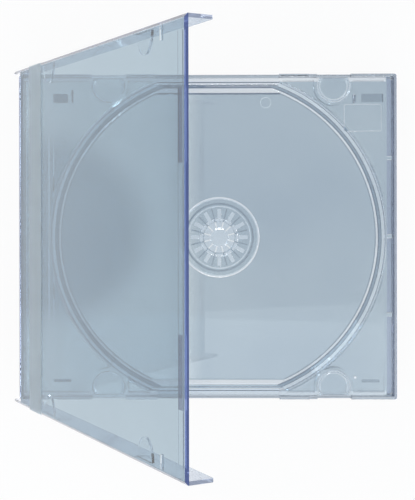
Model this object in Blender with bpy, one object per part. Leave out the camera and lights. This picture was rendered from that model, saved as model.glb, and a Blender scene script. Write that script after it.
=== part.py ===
"""Clear hinged case for one 120 mm disc: base, disc tray and lid.

World frame in metres. The base lies on its back face at Z = 0, its long way along X, the hinge at -X
and the opening side at +X. The lid is a second moulding that turns about two short pins near the
hinge-side corners, and it stands open by LID_ANGLE. The tray is a third moulding, snapped into the base.
"""

import math

import bmesh
import bpy
from mathutils import Matrix, Vector

MM = 0.001

# Overall sizes of the closed case, whose length follows from the disc and the strips before and behind it
CASE_WIDTH = 125.0 * MM
CASE_HEIGHT = 10.4 * MM
LID_ANGLE = math.radians(60.5)

# Walls and clearances
BASE_FLOOR = 1.2 * MM
BASE_WALL = 1.2 * MM
LID_PANEL = 1.3 * MM
LID_WALL = 1.15 * MM
TRAY_WALL = 1.0 * MM
FIT_GAP = 0.3 * MM
RIM_GAP = 0.7 * MM

# Hinge
HINGE_INSET = 3.4 * MM
HINGE_HEIGHT = 4.4 * MM
PIN_RADIUS = 1.5 * MM
PIN_GAP = 0.2 * MM
PANEL_SETBACK = 3.0 * MM
SPINE_BREAK = 0.8 * MM

# Lid details
LID_WALL_DEPTH = 8.3 * MM
TAB_RADIUS = 5.6 * MM
TAB_THICKNESS = 1.0 * MM
BOOKLET_SLOT = 2.2 * MM
TAB_FROM_HUB = 41.6 * MM
CATCH_INSET = 2.0 * MM
CATCH_WIDTH = 2.6 * MM
CATCH_DEPTH = 1.6 * MM
CATCH_LENGTH = 20.0 * MM
CATCH_FROM_MIDDLE = 33.0 * MM
LIP_DEPTH = 0.4 * MM
LIP_END_GAP = 3.0 * MM

# Base details
SIDE_DIP = 3.1 * MM

# Tray details
DISC_RADIUS = 60.0 * MM
DISC_GAP = 0.6 * MM
FRONT_STRIP = 4.4 * MM
BACK_STRIP = 13.0 * MM
WELL_SLOPE = 1.5 * MM
WELL_FLOOR = 1.1 * MM
DECK_HEIGHT = 6.9 * MM
FLAT_FROM_HUB = 54.8 * MM
FLAT_SLOPE = 1.6 * MM
LEDGE_HALF_LENGTH = 22.5 * MM
FRONT_CHANNEL = 2.0 * MM
CHANNEL_FLOOR = 1.5 * MM
POCKET_GAP = 1.0 * MM
POCKET_REACH = 9.2 * MM
POCKET_DROP = 0.7 * MM
RIDGE_INSET = 2.0 * MM
RIDGE_WIDTH = 4.7 * MM
RIDGE_HEIGHT = 1.0 * MM
NIB_WIDTH = 1.5 * MM
NIB_HEIGHT = 4.0 * MM
NIB_SPACING = 29.5 * MM

# Hub that grips the disc's hole
HOLE_RADIUS = 7.5 * MM
GRIP_GAP = 0.1 * MM
SEAT_OUTER = 14.8 * MM
SEAT_INNER = 12.2 * MM
SEAT_HEIGHT = 1.3 * MM
FINGER_COUNT = 12
FINGER_SLOT = 0.8 * MM
FINGER_ROOT = 11.4 * MM
CROWN_HOLE = 3.0 * MM
CROWN_WALL = 1.2 * MM

# Facets of round shapes
WELL_SEGMENTS = 128
HUB_SEGMENTS = 48
PIN_SEGMENTS = 24
TAB_SEGMENTS = 48
CORNER_STEPS = 6

# Places that follow from the sizes above
WELL_RADIUS = DISC_RADIUS + DISC_GAP
WELL_RIM_RADIUS = WELL_RADIUS + WELL_SLOPE
CASE_LENGTH = BACK_STRIP + 2 * WELL_RIM_RADIUS + FRONT_STRIP
BACK_X = -CASE_LENGTH / 2
FRONT_X = CASE_LENGTH / 2
LID_HALF_WIDTH = CASE_WIDTH / 2
LID_INNER_HALF = LID_HALF_WIDTH - LID_WALL
BASE_HALF_WIDTH = LID_INNER_HALF - FIT_GAP
BASE_INNER_HALF = BASE_HALF_WIDTH - BASE_WALL
PANEL_INNER_Z = CASE_HEIGHT - LID_PANEL
BASE_RIM_Z = PANEL_INNER_Z - RIM_GAP
TRAY_BOTTOM_Z = BASE_FLOOR + FIT_GAP
TRAY_HALF_WIDTH = BASE_INNER_HALF - FIT_GAP
TRAY_BACK_X = BACK_X + BASE_WALL + FIT_GAP
TRAY_FRONT_X = FRONT_X - BASE_WALL - FIT_GAP
DECK_FRONT_X = TRAY_FRONT_X - FRONT_CHANNEL
HUB_X = FRONT_X - FRONT_STRIP - WELL_RIM_RADIUS
WELL_FLOOR_Z = TRAY_BOTTOM_Z + WELL_FLOOR
HINGE_X = BACK_X + HINGE_INSET
TAB_BOTTOM_Z = PANEL_INNER_Z - BOOKLET_SLOT - TAB_THICKNESS
POCKET_FLOOR_Z = TAB_BOTTOM_Z - POCKET_DROP
SIDE_DIP_Z = BASE_RIM_Z - SIDE_DIP
FAR = 50 * MM


def clear_scene():
    """Remove whatever the file holds, so the model starts from nothing."""
    for obj in list(bpy.data.objects):
        bpy.data.objects.remove(obj, do_unlink=True)


def object_from(name, bm):
    """Turn a bmesh into an object of the scene and free the bmesh."""
    bmesh.ops.recalc_face_normals(bm, faces=bm.faces)
    mesh = bpy.data.meshes.new(name)
    bm.to_mesh(mesh)
    bm.free()
    obj = bpy.data.objects.new(name, mesh)
    bpy.context.scene.collection.objects.link(obj)
    return obj


def box(name, low, high):
    """A block between two corners."""
    bm = bmesh.new()
    size = Vector(high) - Vector(low)
    middle = (Vector(high) + Vector(low)) / 2
    bmesh.ops.create_cube(bm, size=1.0, matrix=Matrix.Translation(middle) @ Matrix.Diagonal(size).to_4x4())
    return object_from(name, bm)


def round_block(name, centre, radius_low, radius_high, z_low, z_high, segments):
    """An upright cylinder or cone frustum about a point in plan."""
    bm = bmesh.new()
    middle = Matrix.Translation((centre[0], centre[1], (z_low + z_high) / 2))
    bmesh.ops.create_cone(bm, cap_ends=True, segments=segments, radius1=radius_low, radius2=radius_high,
                          depth=z_high - z_low, matrix=middle)
    return object_from(name, bm)


def cross_pin(name, x, z, radius, y_low, y_high):
    """A cylinder along Y."""
    bm = bmesh.new()
    place = Matrix.Translation((x, (y_low + y_high) / 2, z)) @ Matrix.Rotation(math.pi / 2, 4, "X")
    bmesh.ops.create_cone(bm, cap_ends=True, segments=PIN_SEGMENTS, radius1=radius, radius2=radius,
                          depth=y_high - y_low, matrix=place)
    return object_from(name, bm)


def plate(name, points, sweep):
    """A solid whose face is a list of 3-D points, swept along a vector."""
    bm = bmesh.new()
    face = bm.faces.new([bm.verts.new(point) for point in points])
    walls = bmesh.ops.extrude_face_region(bm, geom=[face])
    moved = [item for item in walls["geom"] if isinstance(item, bmesh.types.BMVert)]
    bmesh.ops.translate(bm, verts=moved, vec=sweep)
    return object_from(name, bm)


def side_plate(name, outline, y_low, y_high):
    """A plate whose outline is a list of (x, z) points, from y_low to y_high."""
    return plate(name, [(x, y_low, z) for x, z in outline], (0, y_high - y_low, 0))


def arc(centre, radius, start, end, steps):
    """Points of an arc, both ends included, with angles in degrees."""
    points = []
    for step in range(steps + 1):
        angle = math.radians(start + (end - start) * step / steps)
        points.append((centre[0] + radius * math.cos(angle), centre[1] + radius * math.sin(angle)))
    return points


def combine(target, tool, operation="DIFFERENCE"):
    """Cut the tool from the target, or join it on, and remove the tool."""
    modifier = target.modifiers.new("combine", "BOOLEAN")
    modifier.operation = operation
    modifier.solver = "EXACT"
    modifier.object = tool
    depsgraph = bpy.context.evaluated_depsgraph_get()
    result = bpy.data.meshes.new_from_object(target.evaluated_get(depsgraph))
    target.modifiers.clear()
    target.data = result
    bpy.data.objects.remove(tool, do_unlink=True)


def polystyrene(name, colour):
    """Clear moulded polystyrene, tinted a little."""
    material = bpy.data.materials.new(name)
    material.use_nodes = True
    shader = material.node_tree.nodes["Principled BSDF"]
    shader.inputs["Base Color"].default_value = (*colour, 1.0)
    shader.inputs["Roughness"].default_value = 0.08
    shader.inputs["Metallic"].default_value = 0.0
    shader.inputs["IOR"].default_value = 1.59
    return material


def finish(obj, name, material):
    """Name a node, give it its material and smooth its round faces."""
    obj.name = name
    obj.data.name = name
    obj.data.materials.clear()
    obj.data.materials.append(material)
    obj.data.shade_smooth()
    obj.data.set_sharp_from_angle(angle=math.radians(30))


def tab_places():
    """Plan positions of the four booklet tabs: along X, and which side wall."""
    return [(HUB_X + along * TAB_FROM_HUB, side) for along in (-1, 1) for side in (-1, 1)]


def make_base():
    """The outer tray of the case: floor, hinge-side spine, front wall and two side walls."""
    base = box("base_block", (BACK_X, -BASE_HALF_WIDTH, 0), (FRONT_X, BASE_HALF_WIDTH, BASE_RIM_Z))
    inside = box("inside", (BACK_X + BASE_WALL, -BASE_INNER_HALF, BASE_FLOOR),
                 (FRONT_X - BASE_WALL, BASE_INNER_HALF, FAR))
    combine(base, inside)

    # The spine's lower edge is cut back, so the lid's panel can swing under it
    spine_foot = side_plate("spine_foot", [(BACK_X - SPINE_BREAK, -SPINE_BREAK),
                                           (BACK_X + SPINE_BREAK, -SPINE_BREAK),
                                           (BACK_X + SPINE_BREAK, 0), (BACK_X, SPINE_BREAK),
                                           (BACK_X - SPINE_BREAK, SPINE_BREAK)],
                            -LID_HALF_WIDTH, LID_HALF_WIDTH)
    combine(base, spine_foot)

    # The side walls dip beside the disc, where its edge is gripped
    for side in (-1, 1):
        y_low, y_high = sorted((side * (BASE_INNER_HALF - BASE_WALL), side * LID_HALF_WIDTH))
        dip = box("dip", (HUB_X - LEDGE_HALF_LENGTH, y_low, SIDE_DIP_Z),
                  (HUB_X + LEDGE_HALF_LENGTH, y_high, FAR))
        combine(base, dip)

    # Gaps that let the lid's booklet tabs pass through the side walls
    reach = TAB_RADIUS + POCKET_GAP
    for x, side in tab_places():
        y_low, y_high = sorted((side * (BASE_INNER_HALF - BASE_WALL), side * LID_HALF_WIDTH))
        gap = box("tab_gap", (x - reach, y_low, POCKET_FLOOR_Z), (x + reach, y_high, FAR))
        combine(base, gap)

    # Hinge holes in both side walls
    combine(base, cross_pin("hinge_hole", HINGE_X, HINGE_HEIGHT, PIN_RADIUS + PIN_GAP,
                            -LID_HALF_WIDTH, LID_HALF_WIDTH))
    return base


def make_well_block(name, grow, z_low, z_high):
    """The disc well as a block: a cone with two flats, grown sideways to wrap a wall round it."""
    slope = WELL_SLOPE / (DECK_HEIGHT - WELL_FLOOR_Z)
    low = WELL_RADIUS + grow + slope * (z_low - WELL_FLOOR_Z)
    high = WELL_RADIUS + grow + slope * (z_high - WELL_FLOOR_Z)
    well = round_block(name, (HUB_X, 0), low, high, z_low, z_high, WELL_SEGMENTS)
    flat_slope = FLAT_SLOPE / (DECK_HEIGHT - WELL_FLOOR_Z)
    flat_low = FLAT_FROM_HUB + grow + flat_slope * (z_low - WELL_FLOOR_Z)
    flat_high = FLAT_FROM_HUB + grow + flat_slope * (z_high - WELL_FLOOR_Z)
    ring = [(HUB_X - 2 * DISC_RADIUS, y, z)
            for y, z in ((-flat_low, z_low), (flat_low, z_low), (flat_high, z_high), (-flat_high, z_high))]
    combine(well, plate("flats", ring, (4 * DISC_RADIUS, 0, 0)), "INTERSECT")
    return well


def make_tray_hollow():
    """The space under the tray's deck, which leaves an even wall round the well and the pockets."""
    hollow = box("hollow", (TRAY_BACK_X + TRAY_WALL, -TRAY_HALF_WIDTH + TRAY_WALL, TRAY_BOTTOM_Z - FAR),
                 (DECK_FRONT_X - TRAY_WALL, TRAY_HALF_WIDTH - TRAY_WALL, DECK_HEIGHT - TRAY_WALL))
    rim = WELL_RIM_RADIUS + TRAY_WALL
    combine(hollow, round_block("well_wall", (HUB_X, 0), rim, rim, -2 * FAR, FAR, WELL_SEGMENTS))
    ledge_half = LEDGE_HALF_LENGTH + TRAY_WALL
    combine(hollow, box("ledge_wall", (HUB_X - ledge_half, -LID_HALF_WIDTH, -2 * FAR),
                        (HUB_X + ledge_half, LID_HALF_WIDTH, FAR)))
    for x, side in tab_places():
        pocket = make_pocket("pocket_wall", x, side, TRAY_WALL, -2 * FAR)
        combine(hollow, pocket)
    return hollow


def make_pocket(name, x, side, grow, z_low):
    """Half-moon pocket in the tray's edge that takes a booklet tab and a fingertip."""
    radius = TAB_RADIUS + POCKET_GAP + grow
    centre_y = TRAY_HALF_WIDTH - POCKET_REACH + TAB_RADIUS + POCKET_GAP
    outline = arc((x, centre_y), radius, 180, 360, TAB_SEGMENTS // 2)
    outline += [(x + radius, LID_HALF_WIDTH), (x - radius, LID_HALF_WIDTH)]
    return plate(name, [(px, side * py, z_low) for px, py in outline], (0, 0, FAR - z_low))


def make_hub(tray):
    """Seat ring and the crown of springy fingers that hold the disc by its hole."""
    mid_floor = WELL_FLOOR_Z - WELL_FLOOR / 2
    seat = round_block("seat", (HUB_X, 0), SEAT_OUTER, SEAT_OUTER, mid_floor, WELL_FLOOR_Z + SEAT_HEIGHT,
                       HUB_SEGMENTS)
    combine(seat, round_block("dish", (HUB_X, 0), SEAT_INNER, SEAT_INNER, -FAR, FAR, HUB_SEGMENTS))
    combine(tray, seat, "UNION")

    crown_radius = HOLE_RADIUS - GRIP_GAP
    crown = round_block("crown", (HUB_X, 0), crown_radius, crown_radius, mid_floor, DECK_HEIGHT,
                        HUB_SEGMENTS)
    combine(tray, crown, "UNION")
    combine(tray, round_block("crown_inside", (HUB_X, 0), crown_radius - CROWN_WALL, crown_radius - CROWN_WALL,
                              -FAR, DECK_HEIGHT - CROWN_WALL, HUB_SEGMENTS))
    combine(tray, round_block("crown_hole", (HUB_X, 0), CROWN_HOLE, CROWN_HOLE, 0, FAR, HUB_SEGMENTS))

    # Twelve fingers are six straight slots that cross at the middle
    for index in range(FINGER_COUNT // 2):
        slot = box("slot", (-FINGER_ROOT, -FINGER_SLOT / 2, -FAR), (FINGER_ROOT, FINGER_SLOT / 2, FAR))
        turn = Matrix.Rotation((index + 0.5) * 2 * math.pi / FINGER_COUNT, 4, "Z")
        slot.data.transform(Matrix.Translation((HUB_X, 0, 0)) @ turn)
        combine(tray, slot)


def make_tray():
    """The disc tray: deck, round well with two flats, tab pockets, front channel, ridge and hub."""
    tray = box("tray_block", (TRAY_BACK_X, -TRAY_HALF_WIDTH, TRAY_BOTTOM_Z),
               (TRAY_FRONT_X, TRAY_HALF_WIDTH, DECK_HEIGHT))
    ridge_x = BACK_X + BASE_WALL + RIDGE_INSET
    combine(tray, box("ridge", (ridge_x, -TRAY_HALF_WIDTH + TRAY_WALL, DECK_HEIGHT - TRAY_WALL),
                      (ridge_x + RIDGE_WIDTH, TRAY_HALF_WIDTH - TRAY_WALL, DECK_HEIGHT + RIDGE_HEIGHT)), "UNION")
    combine(tray, make_tray_hollow())
    combine(tray, make_well_block("well", 0, WELL_FLOOR_Z, DECK_HEIGHT + RIDGE_HEIGHT))
    for side in (-1, 1):
        y_low, y_high = sorted((side * FLAT_FROM_HUB, side * LID_HALF_WIDTH))
        combine(tray, box("ledge_cut", (HUB_X - LEDGE_HALF_LENGTH, y_low, SIDE_DIP_Z),
                          (HUB_X + LEDGE_HALF_LENGTH, y_high, FAR)))
    for x, side in tab_places():
        combine(tray, make_pocket("pocket", x, side, 0, POCKET_FLOOR_Z))

    # Low channel along the front, with three small snap nibs
    channel_top = TRAY_BOTTOM_Z + CHANNEL_FLOOR
    combine(tray, box("channel", (DECK_FRONT_X, -LID_HALF_WIDTH, channel_top),
                      (FRONT_X, LID_HALF_WIDTH, FAR)))
    for step in (-1, 0, 1):
        y = step * NIB_SPACING
        combine(tray, box("nib", (DECK_FRONT_X - TRAY_WALL / 2, y - NIB_WIDTH / 2, TRAY_BOTTOM_Z),
                          (TRAY_FRONT_X, y + NIB_WIDTH / 2, TRAY_BOTTOM_Z + NIB_HEIGHT)), "UNION")
    make_hub(tray)
    return tray


def arm_outline():
    """Side wall of the lid as (x, z) about the hinge pin, lid closed, with its hinge end rounded."""
    top = CASE_HEIGHT - HINGE_HEIGHT
    bottom = top - LID_WALL_DEPTH
    front = FRONT_X - HINGE_X
    turn = HINGE_INSET
    outline = [(front, bottom), (front, top)]
    outline += arc((0, top - turn), turn, 90, 180, CORNER_STEPS)
    lower = min(turn, abs(bottom))
    outline += arc((lower - turn, bottom + lower), lower, 180, 270, CORNER_STEPS)
    return outline


def make_lid():
    """Flat panel, two side walls whose ends are the hinge arms, tabs, front catches and pins.

    The mesh is built about the hinge pin with the lid closed, and the object is then turned open.
    """
    top = CASE_HEIGHT - HINGE_HEIGHT
    panel_inner = PANEL_INNER_Z - HINGE_HEIGHT
    front = FRONT_X - HINGE_X
    lid = box("panel", (PANEL_SETBACK, -LID_HALF_WIDTH, panel_inner), (front, LID_HALF_WIDTH, top))
    for side in (-1, 1):
        y_low, y_high = sorted((side * LID_INNER_HALF, side * LID_HALF_WIDTH))
        combine(lid, side_plate("side_wall", arm_outline(), y_low, y_high), "UNION")
        y_low, y_high = sorted((side * (BASE_INNER_HALF + FIT_GAP / 2), side * (LID_HALF_WIDTH - LID_WALL / 2)))
        combine(lid, cross_pin("pin", 0, 0, PIN_RADIUS, y_low, y_high), "UNION")

    for x, side in tab_places():
        tab = round_block("tab", (x - HINGE_X, side * LID_INNER_HALF), TAB_RADIUS, TAB_RADIUS,
                          TAB_BOTTOM_Z - HINGE_HEIGHT, TAB_BOTTOM_Z + TAB_THICKNESS - HINGE_HEIGHT, TAB_SEGMENTS)
        y_low, y_high = sorted((side * (LID_INNER_HALF + LID_WALL / 2), side * LID_HALF_WIDTH * 2))
        combine(tab, box("tab_trim", (0, y_low, -FAR), (front, y_high, FAR)))
        combine(lid, tab, "UNION")

    # A low lip across the panel, and two catches on it that drop into the tray's front channel
    lip_front = front - CATCH_INSET
    lip_half = LID_INNER_HALF - LIP_END_GAP
    combine(lid, box("lip", (lip_front - CATCH_WIDTH, -lip_half, panel_inner - LIP_DEPTH),
                     (lip_front, lip_half, panel_inner + LID_PANEL / 2)), "UNION")
    for side in (-1, 1):
        middle = side * CATCH_FROM_MIDDLE
        combine(lid, box("catch", (lip_front - CATCH_WIDTH, middle - CATCH_LENGTH / 2, panel_inner - CATCH_DEPTH),
                         (lip_front, middle + CATCH_LENGTH / 2, panel_inner + LID_PANEL / 2)), "UNION")
    return lid


def main():
    """Build the three mouldings and stand the lid open on its hinge."""
    clear_scene()
    finish(make_base(), "base", polystyrene("base_polystyrene", (0.62, 0.68, 0.75)))
    finish(make_tray(), "tray", polystyrene("tray_polystyrene", (0.66, 0.71, 0.77)))
    lid = make_lid()
    finish(lid, "lid", polystyrene("lid_polystyrene", (0.60, 0.66, 0.76)))

    hinge = bpy.data.objects.new("hinge_axis", None)
    hinge.location = (HINGE_X, 0, HINGE_HEIGHT)
    hinge.rotation_euler = (0, -LID_ANGLE, 0)
    bpy.context.scene.collection.objects.link(hinge)
    lid.parent = hinge


main()
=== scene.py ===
"""Looks of a clear, hinged case for one disc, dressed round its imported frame.

Three clear mouldings stand for the frame's three solids: the base, the disc tray and the open lid.
World frame: the base lies on its back face at Z = 0, with the hinge at -X. Sizes here are in millimetres,
and a finished piece is scaled to metres.
"""

from __future__ import annotations

import logging
import math
from collections.abc import Callable
from dataclasses import dataclass, field
from enum import Enum

import bmesh
import bpy
from mathutils import Matrix, Quaternion, Vector

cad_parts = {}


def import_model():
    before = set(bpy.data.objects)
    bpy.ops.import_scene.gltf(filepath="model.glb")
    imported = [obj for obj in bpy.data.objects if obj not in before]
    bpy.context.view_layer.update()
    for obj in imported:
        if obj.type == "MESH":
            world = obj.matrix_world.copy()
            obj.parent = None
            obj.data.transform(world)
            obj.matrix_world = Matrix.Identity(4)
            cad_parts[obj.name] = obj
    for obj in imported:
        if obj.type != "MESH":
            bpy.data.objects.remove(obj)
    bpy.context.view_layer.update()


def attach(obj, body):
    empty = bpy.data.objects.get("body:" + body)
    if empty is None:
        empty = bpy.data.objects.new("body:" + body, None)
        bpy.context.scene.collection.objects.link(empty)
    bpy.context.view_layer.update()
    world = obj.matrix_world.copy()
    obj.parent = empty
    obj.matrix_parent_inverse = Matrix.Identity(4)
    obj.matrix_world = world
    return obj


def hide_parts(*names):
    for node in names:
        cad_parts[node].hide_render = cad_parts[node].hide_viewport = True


LOG = logging.getLogger("disc_case")
MM = 0.001
# Past the case on every side, for blocks that cut right through it
FAR = 150.0
THROUGH = (-FAR, FAR)
# Least part along an axis of the normal of a face that looks straight along it, and of one that leans to it
FLAT = 0.9
RISING = 0.3

Point2 = tuple[float, float]
Point3 = tuple[float, float, float]
Colour = tuple[float, float, float, float]


def linear_from_hex(code: str) -> Colour:
    """Turn an sRGB colour of six hex digits into linear light, with an alpha of 1."""
    channels = []
    for start in (0, 2, 4):
        value = int(code[start:start + 2], 16) / 255
        channels.append(value / 12.92 if value <= 0.04045 else ((value + 0.055) / 1.055) ** 2.4)
    return (*channels, 1.0)


def empty_tree(owner: bpy.types.Material | bpy.types.World) -> bpy.types.NodeTree:
    """Give the emptied node tree of a material or world."""
    owner.use_nodes = True
    owner.node_tree.nodes.clear()
    return owner.node_tree


def add_object(name: str, data: bpy.types.ID) -> bpy.types.Object:
    """Add an object to the scene."""
    added = bpy.data.objects.new(name, data)
    bpy.context.scene.collection.objects.link(added)
    return added


def add_node(tree: bpy.types.NodeTree, kind: str, settings: dict | None = None,
             values: dict | None = None, links: dict | None = None) -> bpy.types.Node:
    """Add one shader node with its settings, socket values and incoming links.

    Args:
        tree: Node tree that takes the node.
        kind: Blender's name for the node type, without its "ShaderNode".
        settings: Properties of the node itself.
        values: Values for its input sockets, by name or number.
        links: Output sockets that feed its inputs, by name or number.

    Returns:
        The new node.
    """
    node = tree.nodes.new("ShaderNode" + kind)
    for key, value in (settings or {}).items():
        setattr(node, key, value)
    for key, value in (values or {}).items():
        node.inputs[key].default_value = value
    for key, socket in (links or {}).items():
        tree.links.new(socket, node.inputs[key])
    return node


class Skin(Enum):
    """Which kind of surface of a moulding a face belongs to, in the order of its material slots.

    PANEL is a wide flat, WALL a clear wall or step, EDGE a long cut edge, LINE a narrow ledge darkened by
    painted shade, TAB a booklet tab, SHADE a ledge dimmed by painted shade and GLEAM a step lightened by a
    soft painted highlight.
    """

    PANEL = 0
    WALL = 1
    EDGE = 2
    LINE = 3
    TAB = 4
    SHADE = 5
    GLEAM = 6


PANEL, WALL, EDGE, LINE, TAB, SHADE, GLEAM = Skin


@dataclass(frozen=True)
class ClearPlastic:
    """Injection-moulded crystal polystyrene: hard, glossy and clear, with a faint blue-grey cast.

    Wide flats look blue-grey, partly from the plastic's cast and partly from painted shade that stands for
    the grey floor seen through the case. Darker tints on ledges and steep walls are painted shade, and
    lighter tints on steps are painted highlights, so steps and rounded edges stay almost white. The long
    cut edges, where light leaves after running through the wall, look violet-blue. Flow ripples bend
    reflections, and the tint clouds slowly. Their sizes and the tints come from comparing renders with the
    photo. A partly diffuse edge, with a clearness under 1, stands in for the light that gathers there.
    """

    name: str
    light_tint: str
    deep_tint: str
    roughness: float = 0.02
    cloud_mm: float = 55.0
    ripple_mm: float = 16.0
    ripple_height_mm: float = 0.006
    clear: float = 1.0
    ior: float = 1.59
    # Painted light lightens the tint towards the hinge, and a spot of painted shade darkens it beside the
    # hinge
    painted_light_tint: str | None = None
    painted_light_x_mm: Point2 = (0.0, -18.0)
    painted_shade_spot_mm: Point3 = (-58.0, 3.0, 4.0)
    painted_shade_reach_mm: Point2 = (26.0, 42.0)

    def build(self) -> bpy.types.Material:
        """Make the material, whose tint clouds slowly between its light and its deep tone."""
        material = bpy.data.materials.new(self.name)
        tree = empty_tree(material)
        place = add_node(tree, "TexCoord").outputs["Object"]
        cloud = add_node(tree, "TexNoise",
                         values={"Scale": 1 / (self.cloud_mm * MM), "Detail": 1.5, "Roughness": 0.45},
                         links={"Vector": place})
        spread = add_node(tree, "MapRange",
                          values={"From Min": 0.3, "From Max": 0.7}, links={"Value": cloud.outputs["Fac"]})
        tint = add_node(tree, "Mix", {"data_type": "RGBA"},
                        values={6: linear_from_hex(self.deep_tint), 7: linear_from_hex(self.light_tint)},
                        links={0: spread.outputs["Result"]})
        # Painted light towards the hinge, with a spot of painted shade beside it
        if self.painted_light_tint:
            tint = self.add_painted_light_and_shade(tree, place, tint.outputs[2])
        ripple = add_node(tree, "TexNoise",
                          values={"Scale": 1 / (self.ripple_mm * MM), "Detail": 1.0, "Roughness": 0.4},
                          links={"Vector": place})
        bump = add_node(tree, "Bump",
                        values={"Strength": 1.0, "Distance": self.ripple_height_mm * MM},
                        links={"Height": ripple.outputs["Fac"]})
        shader = add_node(tree, "BsdfPrincipled",
                          values={"Roughness": self.roughness, "IOR": self.ior,
                                  "Transmission Weight": self.clear},
                          links={"Base Color": tint.outputs[2], "Normal": bump.outputs["Normal"]})
        add_node(tree, "OutputMaterial", links={"Surface": shader.outputs["BSDF"]})
        return material

    def add_painted_light_and_shade(self, tree: bpy.types.NodeTree, place: bpy.types.NodeSocket,
                      tint: bpy.types.NodeSocket) -> bpy.types.Node:
        """Lighten the tint towards the hinge with painted light, save for a spot of painted shade beside the
        hinge.

        Args:
            tree: Node tree of the material.
            place: Object coordinates.
            tint: Tint without the painted light and shade.

        Returns:
            Mix node whose colour has the painted light and shade.
        """
        start, end = (x * MM for x in self.painted_light_x_mm)
        near, far = (distance * MM for distance in self.painted_shade_reach_mm)
        x = add_node(tree, "SeparateXYZ", links={0: place}).outputs["X"]
        towards_hinge = add_node(tree, "MapRange", {"interpolation_type": "SMOOTHSTEP"},
                                 values={"From Min": start, "From Max": end}, links={"Value": x})
        away = add_node(tree, "VectorMath", {"operation": "DISTANCE"},
                        values={1: [v * MM for v in self.painted_shade_spot_mm]}, links={0: place})
        off_painted_shade_spot = add_node(tree, "MapRange", {"interpolation_type": "SMOOTHSTEP"},
                            values={"From Min": near, "From Max": far},
                            links={"Value": away.outputs["Value"]})
        painted_light_weight = add_node(tree, "Math", {"operation": "MULTIPLY"},
                        links={0: towards_hinge.outputs["Result"], 1: off_painted_shade_spot.outputs["Result"]})
        return add_node(tree, "Mix", {"data_type": "RGBA"},
                        values={7: linear_from_hex(self.painted_light_tint)}, links={0: painted_light_weight.outputs[0], 6: tint})


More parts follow.
